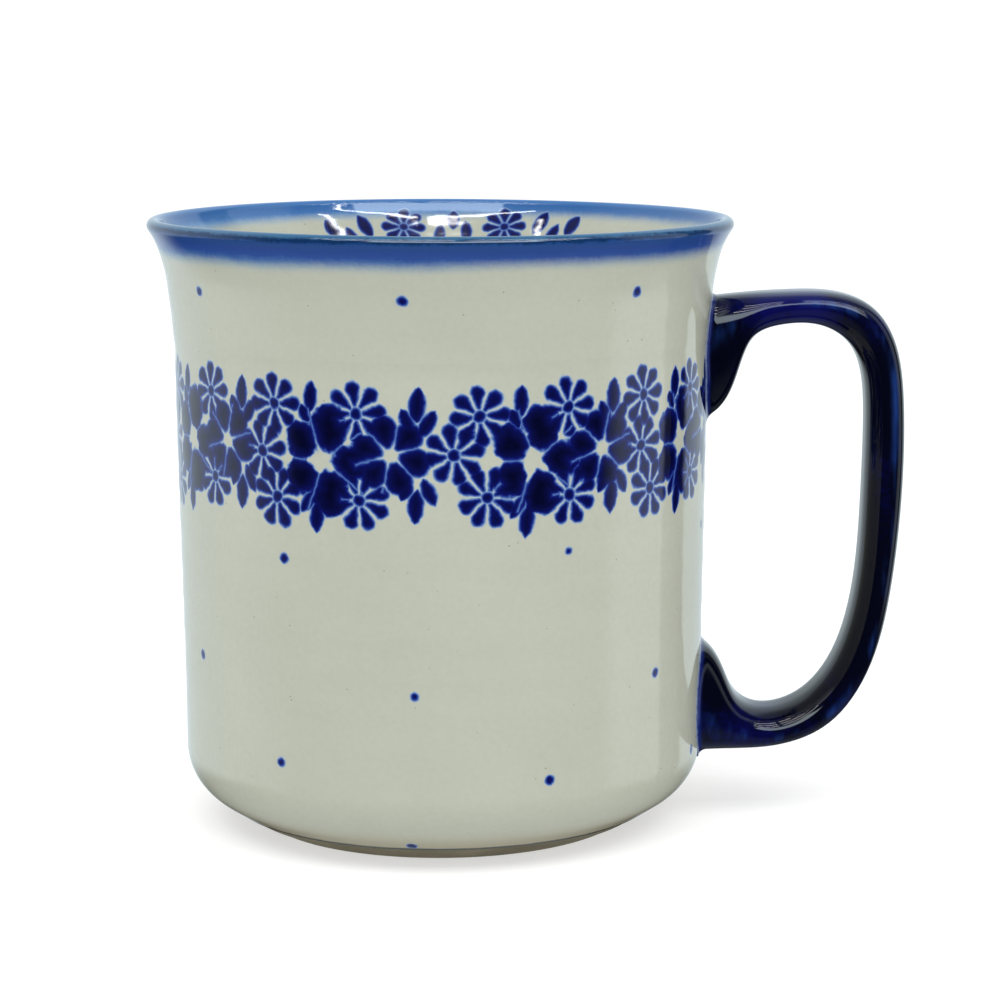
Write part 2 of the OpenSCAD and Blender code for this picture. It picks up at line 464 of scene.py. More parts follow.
# ---------------------------------------------------------------- the painted flowers
# Each motif gives its signed distance in mm, negative in the paint, at (u, v) on the unrolled wall.
# REPEATS is how many times the stamps go round, BAND_R and BAND_Z the band's radius and middle height,
# and GAP half the width of the bare lines between petals.
REPEATS = 9
BAND_R = 43.75
PERIOD = 2 * math.pi * BAND_R / REPEATS
BAND_Z = 66.3
GAP = 0.12


def polar(du, dv, turn, petals):
    """(distance from the centre, angle from the nearest petal's axis)."""
    angle = op("ARCTAN2", dv, du) - math.radians(turn)
    return length(du, dv), wrapped(angle, 2 * math.pi / petals)


def drop(along, across, start, end, thin, thick):
    """A teardrop from start to end along its axis, its ends rounded with radii thin and thick."""
    t = op("MINIMUM", op("MAXIMUM", (along - start) / (end - start), 0.0), 1.0)
    aside = along - (t * (end - start) + start)
    return length(aside, across) - (t * (thick - thin) + thin)


def daisy(du, dv, turn, size=1.0):
    """(paint, bare lines) of an eight-petalled daisy.

    In mm at size 1, its petals run from 1.42 to 3.62, its eye is 0.86, the bare ring round the eye lies
    at 1.07, and the bare spokes between petals run from 1.0 to 3.0.
    """
    r, a = polar(du, dv, turn, 8)
    petal = drop(r * op("COSINE", a), r * op("SINE", a), 1.42 * size, 3.62 * size, 0.24, 1.04 * size)
    paint = least(petal, r - 0.86 * size)
    ring = op("ABSOLUTE", r - 1.07 * size) - GAP
    spoke = r * op("SINE", math.pi / 8 - op("ABSOLUTE", a)) - GAP
    spoke = most(spoke, r - 3.0 * size, 1.0 * size - r)
    return paint, least(ring, spoke)


def blossom(du, dv, turn, petals, start, end, radius, reach, taper):
    """(paint, bare lines) of a flower with round petals about a bare star-shaped eye.

    The petals run from start to end, and the lines between them reach out to reach, wide inside taper.
    """
    r, a = polar(du, dv, turn, petals)
    paint = drop(r * op("COSINE", a), r * op("SINE", a), start, end, radius, radius)
    width = op("MAXIMUM", (1.0 - r / taper) * 0.5, 0.0) + GAP
    spoke = r * op("SINE", math.pi / petals - op("ABSOLUTE", a)) - width
    return paint, most(spoke, r - reach)


def leaf(du, dv, base, tip, width):
    """A pointed leaf from base to tip."""
    size = math.dist(base, tip)
    ax, ay = (tip[0] - base[0]) / size, (tip[1] - base[1]) / size
    dx, dy = du - (base[0] + tip[0]) / 2, dv - (base[1] + tip[1]) / 2
    along = (dx * ax + dy * ay) / (size / 2)
    across = op("ABSOLUTE", dy * ax - dx * ay)
    square = along * along
    return across - (1.0 - square * (square * 0.3 + 0.7)) * (width / 2) + 0.06


# The two sponge stamps, in mm from the middle of the large blossom and of the middle daisy.
# Stamp one: the large blossom with its leaves, two daisies, the star flower and the two sprigs.
STAMP_ONE_DAISIES = [(5.5, 6.9, 5), (6.0, -6.6, 21)]
STAMP_ONE_LEAVES = [
    ((-1.8, 6.2), (-1.4, 11.2), 2.4),
    ((-1.9, 4.6), (-3.4, 7.5), 1.9),
    ((-0.4, -7.2), (-0.9, -12.4), 2.4),
    ((-0.9, -5.6), (-3.3, -9.2), 1.9),
    ((14.8, 5.6), (15.3, 10.9), 2.5),
    ((14.2, 3.7), (12.6, 7.7), 2.1),
    ((15.1, 3.3), (17.8, 7.3), 2.3),
    ((14.9, -4.6), (14.6, -9.9), 2.5),
    ((15.7, -3.0), (17.7, -7.2), 2.0),
    ((13.8, -3.0), (12.4, -6.5), 2.2),
]
# Middle and radius of the large blossom's torn petals, and the middle of the star flower
LARGE_PETALS = [(1.6, 5.6, 2.9), (1.7, -5.5, 3.0), (5.6, 0.0, 2.6)]
STAR = (11.3, 0.4)
# Stamp two: three daisies, whose places change from press to press. After place and turn come how much
# narrower, more to the side and taller the stamp sits there.
STAMP_TWO_DAISIES = [
    (0.0, 0.5, 11, 0.0, 0.0, -0.6),
    (4.0, 6.3, 5, 5.9, 1.2, 4.0),
    (5.0, -6.1, 22, 5.8, 0.0, -1.4),
]


# Where each stamp was pressed: start, middle and drift, as stamped() takes them
STAMP_ONE_PRESS = (-23.6, 7.5, (0.0, 1.2))
STAMP_TWO_PRESS = (2.3, 2.4, (1.8, 0.5))


def stamped(angle, start, middle, drift):
    """(mm along the wall from the nearest press's origin, the angle of that press).

    start is the angle of one press in degrees, middle is how far the stamp's middle lies from its origin,
    and drift gives each press's slip in degrees from the sines of once and twice its angle.
    """
    travel = (angle - math.radians(start)) * BAND_R
    inside = wrapped(travel - middle, PERIOD) + middle
    press = (travel - inside) / BAND_R + math.radians(start)
    slip = op("SINE", press) * math.radians(drift[0]) + op("SINE", press * 2.0) * math.radians(drift[1])
    return inside - slip * BAND_R, press


def flower_band(angle, z, wobble_u, wobble_v, ragged):
    """Signed distance to the paint of the flower band.

    angle is in radians, and ragged is the torn edge of the large petals. lean, swing and turn say how far
    a press sits from its usual place, and each part of a stamp moves with them by its own amount.
    """
    first, press = stamped(angle, *STAMP_ONE_PRESS)
    first = first + wobble_u
    lean = op("SINE", press)
    swing = op("COSINE", press * 4.0 - math.radians(72)) * 0.7
    sprigs = first - lean * 0.3 - 0.1
    petals = first - lean * 1.42 - swing * 0.2 - 0.19
    star = first - lean * 1.53 - swing * 0.82 - 0.8
    small = first - swing - 0.6
    second, press = stamped(angle, *STAMP_TWO_PRESS)
    second = second + wobble_u
    turn = op("SINE", press)
    v = z - BAND_Z + wobble_v + op("SINE", angle * 3.0 + 1.0) * 0.35
    middle = v - swing * 0.3 + 0.7
    paint, lines = [], []

    def add(pair):
        paint.append(pair[0])
        lines.append(pair[1])

    add(blossom(petals - 0.4, middle, turn=0, petals=5,
                start=4.5, end=4.8, radius=2.65, reach=8.2, taper=2.6))
    paint[0] = paint[0] + ragged
    add(blossom(star - STAR[0], v - STAR[1], turn=47, petals=6,
                start=3.4, end=4.1, radius=2.05, reach=5.9, taper=2.7))
    for du, dv, tilt in STAMP_ONE_DAISIES:
        add(daisy(small - du, v - dv - swing * 0.5 - lean * lean * 0.6, tilt))
    square = op("MINIMUM", turn * turn, 0.5)
    second = second - square * 0.8 - turn * 0.6
    lower = v + square * 1.8 - turn * 0.3 - 0.15
    for du, dv, tilt, narrower, leaning, taller in STAMP_TWO_DAISIES:
        aside = second - du + square * narrower + turn * leaning
        add(daisy(aside, lower - dv - square * taller, tilt))
    for base, tip, width in STAMP_ONE_LEAVES:
        paint.append(leaf(sprigs if base[0] > STAR[0] else petals, v, base, tip, width))
    for du, dv, radius in LARGE_PETALS:
        paint.append(length(petals - du, middle - dv) - radius + ragged)
    return most(least(*paint), -least(*lines))


# ---------------------------------------------------------------- materials
def srgb(red, green, blue):
    """A linear colour from the usual 0 to 255 values."""
    shares = [c / 255 for c in (red, green, blue)]
    return tuple(c / 12.92 if c < 0.04045 else ((c + 0.055) / 1.055) ** 2.4 for c in shares) + (1.0,)


CREAM_LIGHT = srgb(172, 175, 162)
CREAM_DARK = srgb(163, 166, 152)
SPECK = srgb(96, 92, 76)
THIN_GLAZE = srgb(164, 156, 132)
GLAZE_LINE = srgb(62, 66, 64)
# The cobalt glaze where it is thick, where it is blue, the painted highlight along its sides, and beside
# the wall
COBALT_DARK = srgb(3, 4, 18)
COBALT_BLUE = srgb(9, 10, 74)
COBALT_GLINT = srgb(26, 52, 112)
COBALT_EDGE = srgb(120, 136, 160)
COBALT_THIN = srgb(22, 34, 100)
CLAY_DARK = srgb(92, 86, 66)
CLAY_LIGHT = srgb(132, 125, 102)
CLAY_SPECK = srgb(70, 58, 46)
SLIP_DARK = srgb(140, 132, 114)
SLIP_LIGHT = srgb(176, 168, 148)
GLAZE_IOR = 1.52


class Surface:
    """A material with one Principled shader, and the fields that its colours are made from."""

    def __init__(self, name):
        self.material = bpy.data.materials.new(name)
        self.material.use_nodes = True
        self.tree = self.material.node_tree
        self.tree.nodes.clear()
        self.shader = self.tree.nodes.new("ShaderNodeBsdfPrincipled")
        output = self.tree.nodes.new("ShaderNodeOutputMaterial")
        self.tree.links.new(self.shader.outputs["BSDF"], output.inputs["Surface"])
        self.coords = self.tree.nodes.new("ShaderNodeTexCoord").outputs["Object"]
        split = self.tree.nodes.new("ShaderNodeSeparateXYZ")
        self.tree.links.new(self.coords, split.inputs[0])
        self.x, self.y, self.z = (Field(self.tree, out) * 1000.0 for out in split.outputs)
        self.angle = op("ARCTAN2", self.x, -self.y)
        self.made = {}

    def noise(self, size, detail=2.0, stretch=1.0, shift=0.0):
        """Three noise fields from about -0.5 to 0.5, with features of that size in mm.

        stretch makes them longer upwards. The same noise asked for again is not made again.
        """
        kind = (size, detail, stretch, shift)
        if kind in self.made:
            return self.made[kind]
        place = self.tree.nodes.new("ShaderNodeMapping")
        place.inputs["Scale"].default_value = (1.0, 1.0, 1.0 / stretch)
        place.inputs["Location"].default_value = (shift, shift, shift)
        self.tree.links.new(self.coords, place.inputs["Vector"])
        node = self.tree.nodes.new("ShaderNodeTexNoise")
        node.inputs["Scale"].default_value = 1.0 / (size * MM)
        node.inputs["Detail"].default_value = detail
        self.tree.links.new(place.outputs[0], node.inputs["Vector"])
        parts = self.tree.nodes.new("ShaderNodeSeparateColor")
        self.tree.links.new(node.outputs["Color"], parts.inputs[0])
        self.made[kind] = [Field(self.tree, out) - 0.5 for out in parts.outputs]
        return self.made[kind]

    def specks(self, cell, share, radius):
        """1 inside small specks, of which that share of the cells of that size in mm has one."""
        node = self.tree.nodes.new("ShaderNodeTexVoronoi")
        node.inputs["Scale"].default_value = 1.0 / (cell * MM)
        self.tree.links.new(self.coords, node.inputs["Vector"])
        parts = self.tree.nodes.new("ShaderNodeSeparateColor")
        self.tree.links.new(node.outputs["Color"], parts.inputs[0])
        chance, size = (Field(self.tree, out) for out in parts.outputs[:2])
        chosen = ease(chance, 1.0 - share, 1.0 - share + 0.02)
        from_middle = Field(self.tree, node.outputs["Distance"]) * cell / (size * 0.7 + 0.3)
        return chosen * ease(from_middle, radius * 0.5, radius, 1.0, 0.0)

    def mix(self, factor, first, second):
        """A colour that goes from the first to the second as the factor goes from 0 to 1."""
        node = self.tree.nodes.new("ShaderNodeMix")
        node.data_type = "RGBA"
        plug(self.tree, factor, node.inputs[0])
        for colour, socket in ((first, node.inputs[6]), (second, node.inputs[7])):
            if isinstance(colour, bpy.types.NodeSocket):
                self.tree.links.new(colour, socket)
            else:
                socket.default_value = colour
        return node.outputs[2]

    def ramp(self, value, low, high, stops):
        """A colour looked up from (value, colour) stops between low and high."""
        node = self.tree.nodes.new("ShaderNodeValToRGB")
        elements = node.color_ramp.elements
        elements.remove(elements[1])
        for i, (at, colour) in enumerate(stops):
            share = (at - low) / (high - low)
            element = elements[0] if i == 0 else elements.new(share)
            element.position = share
            element.color = srgb(*colour)
        plug(self.tree, (value - low) / (high - low), node.inputs[0])
        return node.outputs[0]

    def bump(self, height, amount):
        """Raises the surface by the height field times an amount in mm."""
        node = self.tree.nodes.new("ShaderNodeBump")
        node.inputs["Distance"].default_value = amount * MM
        plug(self.tree, height, node.inputs["Height"])
        self.tree.links.new(node.outputs[0], self.shader.inputs["Normal"])

    def colour(self, socket):
        self.tree.links.new(socket, self.shader.inputs["Base Color"])


# The blue paint's colour by signed distance, from the middle of a patch to its edge, and the stops' span
PAINT_SPAN = (-2.0, 0.5)
PAINT_STOPS = [
    (-1.9, (3, 4, 34)),
    (-0.9, (5, 8, 56)),
    (-0.35, (7, 12, 76)),
    (-0.12, (18, 30, 108)),
    (0.02, (50, 76, 138)),
    (0.14, (80, 108, 160)),
    (0.3, (136, 156, 178)),
]


def cream(surface):
    """The glaze over bare clay: cream, a little cloudy, with iron specks."""
    cloud = surface.noise(16.0, 3.0)
    fine = surface.noise(0.9, 3.0, shift=0.3)
    base = surface.mix(cloud[0] * 0.8 + fine[0] * 0.9 + 0.5, CREAM_DARK, CREAM_LIGHT)
    return surface.mix(surface.specks(2.1, 0.6, 0.2) * 0.55, base, SPECK)


def painted(surface, base, paint):
    """The base with blue paint where the signed distance is negative, darker where it lies thick."""
    cloud = surface.noise(16.0, 3.0)
    fine = surface.noise(0.9, 3.0, shift=0.3)
    pooled = cloud[1] * 0.9 * ease(paint, -1.0, -0.3, 1.0, 0.0)
    tint = surface.ramp(paint + fine[1] * 0.12 + pooled, *PAINT_SPAN, PAINT_STOPS)
    return surface.mix(ease(paint + fine[2] * 0.1, 0.12, 0.52), tint, base)


def gloss(surface, roughness=0.055, peel=0.012):
    """A fired gloss: faint orange peel and a little change in roughness."""
    cloud = surface.noise(9.0, 2.0, shift=0.7)
    pits = surface.noise(2.6, 1.0, shift=0.9)
    plug(surface.tree, cloud[1] * 0.04 + roughness, surface.shader.inputs["Roughness"])
    surface.bump(cloud[0] * 2.0 + pits[0], peel)
    surface.shader.inputs["IOR"].default_value = GLAZE_IOR
    surface.shader.inputs["Specular IOR Level"].default_value = 0.5


# Small dots of paint as (angle in degrees, height, radius). Beyond 80 degrees from the front they are
# guesses.
DOTS = [
    (-57.3, 89.9, 0.62), (-7.4, 90.1, 0.62), (41.8, 90.3, 0.62), (93, 89.6, 0.6), (146, 90.4, 0.6),
    (-160, 90.1, 0.62), (-109, 89.7, 0.6),
    (-34.3, 49.6, 0.7), (26.3, 51.0, 0.4), (76.4, 50.1, 0.6), (137, 49.2, 0.66), (-161, 50.6, 0.6),
    (-98, 49.8, 0.66),
    (-63.8, 30.9, 0.62), (-5.9, 29.1, 0.5), (51.2, 29.1, 0.62), (112, 30.4, 0.6), (170, 29.5, 0.64),
    (-124, 30.0, 0.6),
    (-36.4, 16.9, 0.58), (22.4, 15.0, 0.62), (70.5, 13.3, 0.6), (131, 16.2, 0.66), (-168, 15.4, 0.6),
    (-101, 16.6, 0.64),
    (-7.9, GLAZE_Z + 1.15, 0.84),
]


def dotted(surface, dots, wobble):
    """Signed distance to the dots of paint. The lowest are measured along the bevel, not upright."""
    found = []
    for degrees, z, radius in dots:
        du = wrapped(surface.angle - math.radians(degrees), 2 * math.pi) * BAND_R
        climb = (surface.z - z) / (math.cos(HEEL_ANGLE) if z < HEEL_Z / 2 else 1.0)
        found.append(length(du + wobble[0] * 0.5, climb + wobble[1] * 0.5) - radius)
    return least(*found)


def wall_material(name, low, high, flowers=False):
    """The wall's glaze between two heights, with its dots, flowers and the line where it ends."""
    surface = Surface(name)
    wobble = surface.noise(1.1, 1.5, shift=0.1)
    slow = surface.noise(5.0, 1.0, shift=0.2)
    wobble_u = wobble[0] * 0.5 + slow[0] * 0.7
    wobble_v = wobble[1] * 0.5 + slow[1] * 0.7
    if flowers:
        ragged = surface.noise(2.3, 2.0)[0] * 2.2
        paint = flower_band(surface.angle, surface.z, wobble_u, wobble_v, ragged)
    else:
        paint = dotted(surface, [d for d in DOTS if low < d[1] < high], wobble)
    base = cream(surface)
    if low < GLAZE_Z:
        up = surface.z - GLAZE_Z + slow[2] * 0.3
        base = surface.mix(ease(up, 0.2, 4.6, 0.85, 0.0), base, THIN_GLAZE)
        base = surface.mix(ease(up, 0.3, 0.62, 0.95, 0.0), base, GLAZE_LINE)
    surface.colour(painted(surface, base, paint))
    gloss(surface)
    return surface.material


# Colours of the rim's blue by height, on the outside and on the inside. FADE is the pair of heights
# between which it comes in, and RIM_SPAN the heights the stops are placed in.
RIM_SPAN = (93.6, 100.4)
RIM_FADE = (93.7, 96.4)
INNER_RIM_FADE = (95.9, 98.1)
RIM_STOPS = [
    (93.8, (140, 162, 170)),
    (94.8, (98, 132, 160)),
    (95.7, (64, 98, 148)),
    (96.6, (38, 68, 134)),
    (97.5, (33, 62, 126)),
    (98.6, (32, 64, 118)),
    (99.0, (12, 42, 80)),
    (99.3, (12, 42, 80)),
    (99.7, (40, 84, 120)),
]
# The inside's colours are lighter than the outside's. They are partly the rim's blue and partly a painted
# reflection of the pale sheen over the inside of the far rim.
INNER_RIM_BLUE_AND_SHEEN = [
    (95.2, (150, 170, 176)),
    (96.2, (122, 152, 178)),
    (97.1, (96, 134, 175)),
    (98.0, (64, 107, 162)),
    (99.0, (52, 96, 154)),
    (99.8, (56, 100, 152)),
]


def rim_band(surface, base, stops, fade):
    """Blue brushed round the lip, fading into the base between the two heights of fade."""
    grain = surface.noise(0.55, 3.0, shift=0.4)
    patch = surface.noise(3.2, 2.0, stretch=0.5, shift=0.5)
    drift = surface.noise(24.0, 1.0, shift=0.6)
    level = surface.z - op("SINE", surface.angle) * 0.35 + drift[0] * 1.2 + patch[0] * 0.5 + grain[0] * 0.4
    crest = op("SINE", surface.angle) * 0.16 + 0.1
    tint = surface.ramp(surface.z + crest + patch[1] * 0.7 + grain[1] * 0.8, *RIM_SPAN, stops)
    return surface.mix(ease(level, *fade), base, tint)


def rim_material(name, low, high):
    """The flare's glaze between two heights: a row of dots, and the blue band at the lip."""
    surface = Surface(name)
    wobble = surface.noise(1.3, 1.0, shift=0.1)
    dots = dotted(surface, [d for d in DOTS if low < d[1] < high], wobble)
    base = painted(surface, cream(surface), dots)
    surface.colour(rim_band(surface, base, RIM_STOPS, RIM_FADE))
    gloss(surface)
    return surface.material


# The spray inside the rim, on the wall across from the front: its middle's angle in degrees and height,
# the wall's radius there, and the leaves of one half as (base, tip, width) in mm from that middle. The
# half at larger angles sits a little further out and lower.
SPRAY_ANGLE = 176.8
SPRAY_Z = 94.0
SPRAY_R = 43.5
SPRAY_OUT = 0.4
SPRAY_DROP = 0.5
SPRAY_LEAVES = [
    ((14.5, 0.0), (16.6, 3.8), 2.2),
    ((20.6, 0.0), (22.8, 3.2), 2.2),
    ((11.5, -3.0), (15.0, -1.5), 2.2),
    ((17.0, -2.6), (19.0, 1.8), 1.9),
    ((2.5, -1.5), (1.9, 2.0), 1.8),
]


def spray_paint(u, v):
    """Signed distance to the paint of the spray inside the rim."""
    paint, lines = [], []
    for side in (-1, 1):
        for flower in (
            daisy(u - side * 9.0, (v - 1.15) * 1.28, 90 + side * 4, 0.82),
            daisy(u - side * 4.6, v + 7.7, 70 + side * 9),
        ):
            paint.append(flower[0])
            lines.append(flower[1])
        out, lowered = (SPRAY_OUT, SPRAY_DROP) if side > 0 else (0.0, 0.0)
        for base, tip, width in SPRAY_LEAVES:
            low_end = (side * (base[0] + out), base[1] - lowered)
            high_end = (side * (tip[0] + out), tip[1] - lowered)
            paint.append(leaf(u, v, low_end, high_end, width))
    paint.append(leaf(u, v, (0.2, 0.6), (0.2, 3.9), 2.0))
    return most(least(*paint), -least(*lines))


def inner_material(name, spray=False):
    """The inside's glaze, with the spray and the rim's blue if asked for."""
    surface = Surface(name)
    glaze = cream(surface)
    if spray:
        wobble = surface.noise(1.3, 1.0, shift=0.1)
        angle = wrapped(surface.angle - math.radians(SPRAY_ANGLE), 2 * math.pi)
        u = angle * SPRAY_R + wobble[0] * 0.3
        paint = spray_paint(u, surface.z - SPRAY_Z + wobble[1] * 0.3)
        # The rim's blue inside, its lighter colours partly a painted reflection
        glaze = rim_band(surface, glaze, INNER_RIM_BLUE_AND_SHEEN, INNER_RIM_FADE)
        glaze = painted(surface, glaze, paint)
    surface.colour(glaze)
    gloss(surface)
    return surface.material


def cobalt_material(name):
    """Thick cobalt glaze: nearly black where it pools, blue at the bends and at the wall, with a painted
    highlight of lighter blue along the strap's sides.
    """
    surface = Surface(name)
    cloud = surface.noise(11.0, 3.0, stretch=1.6)
    fine = surface.noise(0.8, 2.0)
    streak = surface.noise(2.2, 2.0, stretch=5.0, shift=0.5)

    def stored(attribute):
        reader = surface.tree.nodes.new("ShaderNodeAttribute")
        reader.attribute_name = attribute
        return Field(surface.tree, reader.outputs["Fac"])

    far = ease(op("ABSOLUTE", surface.z - 50.0), 20.0, 36.0, -0.16, 0.1)
    base = surface.mix(ease(cloud[0] + fine[0] * 0.25 + far, -0.12, 0.3), COBALT_DARK, COBALT_BLUE)
    # Painted highlight: lighter blue glint lines along the strap's sides, broken up by noise
    painted_glint = stored("glint_line") * ease(streak[0] + cloud[1] * 0.8, -0.1, 0.35)
    base = surface.mix(painted_glint, base, COBALT_GLINT)
    gap = stored("wall_gap") + fine[1] * 0.25
    thin = surface.mix(ease(gap, -0.05, 0.25), COBALT_EDGE, COBALT_THIN)
    surface.colour(surface.mix(ease(gap, 0.1, 0.9), thin, base))
    gloss(surface, 0.02, 0.0004)
    surface.shader.inputs["Specular IOR Level"].default_value = 0.28
    return surface.material


def clay_material(name):
    """Unglazed fired stoneware of the foot, grey-tan with fine grit and turning marks."""
    surface = Surface(name)
    cloud = surface.noise(9.0, 4.0)
    grit = surface.noise(0.35, 2.0)
    base = surface.mix(cloud[0] * 1.2 + grit[0] * 0.8 + 0.5, CLAY_DARK, CLAY_LIGHT)
    base = surface.mix(surface.specks(1.2, 0.2, 0.2) * 0.7, base, CLAY_SPECK)
    surface.colour(base)
    rings = op("SINE", length(surface.x, surface.y) * 5.2 + cloud[1] * 2.0)
    plug(surface.tree, grit[1] * 0.1 + 0.86, surface.shader.inputs["Roughness"])
    surface.bump(rings * 0.5 + grit[0] * 2.0, 0.03)
    return surface.material


def slip_material(name):
    """The thin dried slip that joins handle and cup."""
    surface = Surface(name)
    grit = surface.noise(0.5, 3.0)
    surface.colour(surface.mix(grit[0] + 0.5, SLIP_DARK, SLIP_LIGHT))
    plug(surface.tree, grit[1] * 0.1 + 0.8, surface.shader.inputs["Roughness"])
    surface.bump(grit[2], 0.05)
    return surface.material


# ---------------------------------------------------------------- the pieces
# The outer glaze is three pieces that meet at these heights, below and above the flower band
SPLIT_LOW = 52.2
SPLIT_HIGH = NECK_Z + 1.5


def between(path, low, high):
    """The part of a rising or falling path between two heights, with its ends cut exactly there."""
    z = path[:, 1]
    order = 1 if z[-1] > z[0] else -1
    rising = path[::order]
    keep = rising[(rising[:, 1] > low + 1e-6) & (rising[:, 1] < high - 1e-6)]
    ends = [(np.interp(level, rising[:, 1], rising[:, 0]), level) for level in (low, high)]
    return np.concatenate([[ends[0]], keep, [ends[1]]])[::order]


def finish_piece(piece, material, node, body="root"):
    """Gives a piece its material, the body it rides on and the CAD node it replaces."""
    piece.data.materials.append(material)
    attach(piece, body)
    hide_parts(node)


def coat(name, face, rows=1):
    """A thin glaze coat: its face, and the same line a glaze's thickness into the clay."""
    back = shifted(face, GLAZE_T)
    return turned(name, np.concatenate([face, back[::-1]]), rows, len(face))


def make_cup():
    """The outer glaze in three pieces, the inner glaze in two, the clay, and the glaze under the base."""
    outside, inside = glazed_outline()
    finish_piece(coat("wall_glaze", between(outside, GLAZE_Z, SPLIT_LOW), 3),
                 wall_material("cream glaze with dots", 0, SPLIT_LOW), "outer_glaze")
    band = between(outside, SPLIT_LOW, SPLIT_HIGH)
    flowered = wall_material("cream glaze with flowers", SPLIT_LOW, SPLIT_HIGH, True)
    finish_piece(coat("flower_band_glaze", band, 4), flowered, "outer_glaze")
    rim = np.concatenate([band[-1:], outside[outside[:, 1] > SPLIT_HIGH]])
    finish_piece(coat("rim_glaze", rim, 3),
                 rim_material("cream glaze with blue rim", SPLIT_HIGH, MUG_H), "outer_glaze")
    crest = outside[-1:]
    upper = np.concatenate([crest, inside[inside[:, 1] > NECK_Z]])
    lower = np.concatenate([upper[-1:], inside[inside[:, 1] <= NECK_Z]])
    finish_piece(coat("inner_glaze_upper", upper, 3),
                 inner_material("inner glaze with spray", True), "inner_glaze")
    finish_piece(coat("inner_glaze_lower", lower, 2),
                 inner_material("inner glaze plain"), "inner_glaze")

    # The clay under the glaze, bare at the foot
    skin = shifted(np.concatenate([outside, inside]), GLAZE_T)
    heel_line = float(np.interp(GLAZE_Z, skin[:20, 1], skin[:20, 0]))
    inner_edge = (FOOT_R - FOOT_W + FOOT_INNER_EDGE, FOOT_INNER_EDGE)
    outer_edge = (FOOT_R - 0.4, FOOT_OUTER_EDGE)
    underside = np.concatenate([
        [(0, RECESS_Z), (23.8, RECESS_Z), (25.2, 2.0), (26.8, 0.9)],
        arc(inner_edge, FOOT_INNER_EDGE, math.pi * 1.1, math.pi * 1.5, 5),
        [(outer_edge[0], 0.0)],
        arc(outer_edge, FOOT_OUTER_EDGE, -math.pi / 2, -math.pi / 5, 4)[1:],
        [(33.4, 1.3), (heel_line, GLAZE_Z)],
    ])
    loop = np.concatenate([underside, skin[skin[:, 1] > GLAZE_Z + 0.05]])
    finish_piece(turned("cup_clay", loop), clay_material("bare stoneware"), "cup_body")

    low = RECESS_Z - GLAZE_T
    disc = [(0.0, low), (RECESS_R * 0.5, low - 0.02), (RECESS_R - 0.5, low), (RECESS_R - 0.1, low + 0.12)]
    disc = np.array(disc)
    back = disc[::-1] * (1, 0) + (0, RECESS_Z)
    finish_piece(turned("base_glaze_disc", np.concatenate([disc, back]), 1, len(disc)),
                 inner_material("base glaze"), "base_glaze")


def make_handle():
    """The handle's glaze, and materials for the CAD nodes under it that stay as they are."""
    glaze = cobalt_material("cobalt glaze")
    finish_piece(strap_handle("handle_cobalt"), glaze, "handle_glaze")
    clay = clay_material("stoneware under glaze")
    slip = slip_material("joining slip")
    for node, material in (("handle", clay), ("upper_slip_joint", slip), ("lower_slip_joint", slip)):
        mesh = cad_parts[node].data
        mesh.materials.clear()
        mesh.materials.append(material)


# ---------------------------------------------------------------- camera, floor and light
# The camera's place in metres, its lens in mm, and how far it looks down, to the right and leans
CAMERA_PLACE = (0, -0.4795, 0.13096)
CAMERA_LENS = 105
CAMERA_PITCH, CAMERA_YAW, CAMERA_ROLL = (math.radians(a) for a in (9.276, 1.146, -0.206))
FLOOR_HALF = 6.0
FLOOR_GREY = (0.45, 0.45, 0.45, 1)
# The floor glows a little, so that it is nearly white and the mug's shadow stays faint
FLOOR_GLOW = 0.55
# SKY_LIGHT lights the surfaces from all round. What the glaze mirrors has its own brightnesses.
SKY_LIGHT = 1.06
WALL_BRIGHT = 0.85
TOP_BRIGHT = 0.25
BELOW_BRIGHT = 0.2
DARKEST = 0.02
SOFT_BOX_BRIGHT = 7.0
# The bright sides, in degrees round from the front: the left one begins, the right one begins and ends,
# and the right one's far part begins. Then the directions' heights at their lower and upper edges.
LEFT_FROM = (60, 106)
RIGHT_FROM = (70, 84)
RIGHT_TO = (109, 112)
RIGHT_AGAIN = (127, 132)
SIDES_LOW = (-0.42, -0.24)
SIDES_HIGH = (0.6, 0.9)
# The soft box: degrees of its middle right of the front, half its width, and its lower and upper edges
SOFT_BOX_MIDDLE = 6.0
SOFT_BOX_HALF = (36, 38)
SOFT_BOX_LOW = (0.44, 0.5)
SOFT_BOX_HIGH = (0.66, 0.74)
MIRRORED_TINT = (0.86, 1.0, 1.06, 1)
# Lamps: metres from the mug, length, width, power, sideways places, and each row's lean to the front
LAMP_FAR = 1.5
LAMP_LONG = 1.1
LAMP_WIDE = 0.03
LAMP_WATTS = 3.0
LAMP_ASIDE = 0.6
LAMP_SHIFT = 0.15
LAMP_LEANS = (14, 25, 36)


def make_camera():
    """A camera at the object's front, a little above it."""
    camera = bpy.data.objects.new("camera", bpy.data.cameras.new("camera"))
    bpy.context.scene.collection.objects.link(camera)
    camera.data.lens = CAMERA_LENS
    camera.data.sensor_width = 36
    camera.data.clip_start = 0.01
    pitch, yaw, roll = CAMERA_PITCH, CAMERA_YAW, CAMERA_ROLL
    ahead = Vector((math.sin(yaw) * math.cos(pitch), math.cos(yaw) * math.cos(pitch), -math.sin(pitch)))
    level = Vector((math.cos(yaw), -math.sin(yaw), 0))
    above = level.cross(ahead)
    right = level * math.cos(roll) + above * math.sin(roll)
    up = above * math.cos(roll) - level * math.sin(roll)
    turn = Matrix((right, up, -ahead)).transposed().to_4x4()
    camera.matrix_world = Matrix.Translation(CAMERA_PLACE) @ turn
    bpy.context.scene.camera = camera


